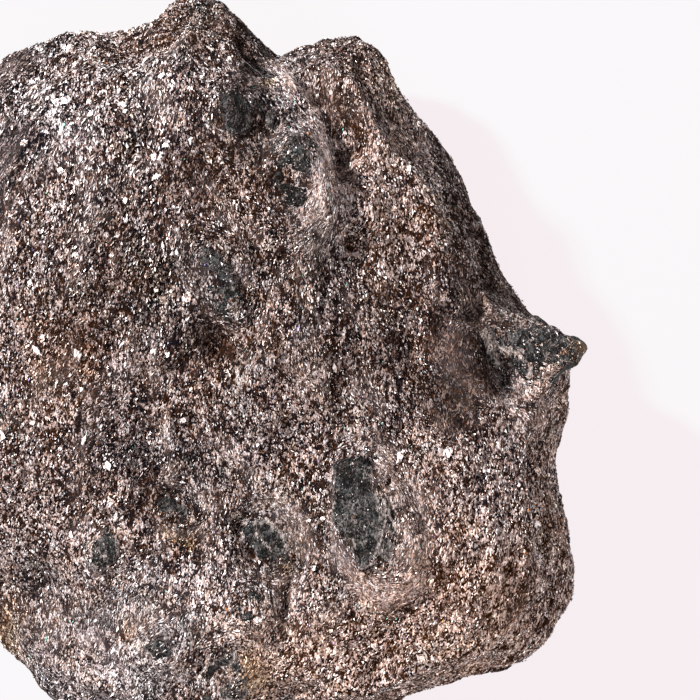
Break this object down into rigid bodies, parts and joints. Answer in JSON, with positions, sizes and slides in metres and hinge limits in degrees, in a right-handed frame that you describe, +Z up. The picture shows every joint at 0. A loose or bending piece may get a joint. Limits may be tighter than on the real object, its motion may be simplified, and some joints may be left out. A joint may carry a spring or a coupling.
{
  "type": "alexandrite in mica schist",
  "caption": "Hand specimen of glittering mica schist with dark blue-green alexandrite crystals seated in it, resting on a flat break.",
  "frame": {"origin": "middle of the flat underside, at the bottom centre of the specimen's box", "axes": "+Z up from the flat underside, +Y towards the pointed peak of the larger lobe, +X towards the side with the pointed crystal"},
  "size_m": [0.071, 0.0746, 0.0272],
  "materials": {
    "mica_schist": "broken, glittering with mica flakes",
    "alexandrite": "dark blue-green, dull to vitreous, veiled with mica"
  },
  "bodies": {
    "root": {"mica_schist": "mica_schist", "main_crystal": "alexandrite", "upper_crystals": "alexandrite", "flank_crystals": "alexandrite", "middle_crystal": "alexandrite", "edge_crystals": "alexandrite", "left_crystal": "alexandrite", "small_crystal": "alexandrite", "lower_crystal": "alexandrite", "lower_grain": "alexandrite", "bottom_crystal": "alexandrite", "corner_crystal": "alexandrite"}
  },
  "joints": []
}
